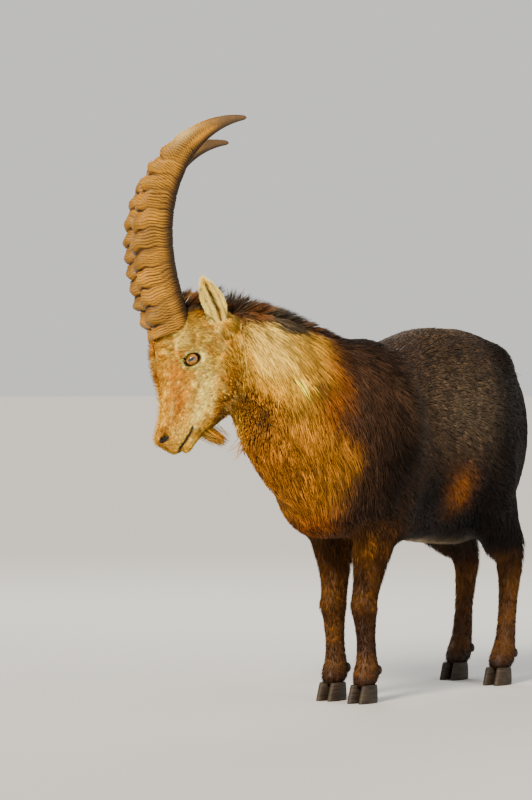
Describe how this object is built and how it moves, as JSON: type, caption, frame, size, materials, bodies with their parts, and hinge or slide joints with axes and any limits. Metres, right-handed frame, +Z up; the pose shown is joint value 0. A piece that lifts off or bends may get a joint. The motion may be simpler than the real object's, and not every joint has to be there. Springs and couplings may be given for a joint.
{
  "type": "life-size standing male alpine ibex",
  "caption": "Still life-size model of a standing alpine ibex buck, head turned aside and down, with knobbed horns that sweep back.",
  "frame": {"origin": "on the floor, under the middle of the whole animal, horns included", "axes": "+Z up, the animal's trunk looks along -X, its left side faces -Y"},
  "size_m": [1.3708, 0.6612, 1.4668],
  "materials": {
    "coat_dark": "short dense dark brown winter coat",
    "coat_golden": "long golden to rust neck coat",
    "coat_straw": "short straw-coloured face coat",
    "leg_hair": "short flat dark leg coat",
    "horn": "ridged horn, satin, creases dark",
    "hoof": "dull black horn",
    "eye": "wet amber eye with a level dark pupil"
  },
  "bodies": {
    "root": {"ear_left": "coat_straw", "ear_right": "coat_straw", "eye_left": "eye", "eye_right": "eye", "foreleg_left": "leg_hair", "foreleg_left_dewclaw_a": "hoof", "foreleg_left_dewclaw_b": "hoof", "foreleg_left_toe_a": "hoof", "foreleg_left_toe_b": "hoof", "foreleg_right": "leg_hair", "foreleg_right_dewclaw_a": "hoof", "foreleg_right_dewclaw_b": "hoof", "foreleg_right_toe_a": "hoof", "foreleg_right_toe_b": "hoof", "head": "coat_straw", "hindleg_left": "leg_hair", "hindleg_left_dewclaw_a": "hoof", "hindleg_left_dewclaw_b": "hoof", "hindleg_left_toe_a": "hoof", "hindleg_left_toe_b": "hoof", "hindleg_right": "leg_hair", "hindleg_right_dewclaw_a": "hoof", "hindleg_right_dewclaw_b": "hoof", "hindleg_right_toe_a": "hoof", "hindleg_right_toe_b": "hoof", "horn_left": "horn", "horn_right": "horn", "neck": "coat_golden", "tail": "coat_dark", "torso": "coat_dark"}
  },
  "joints": []
}
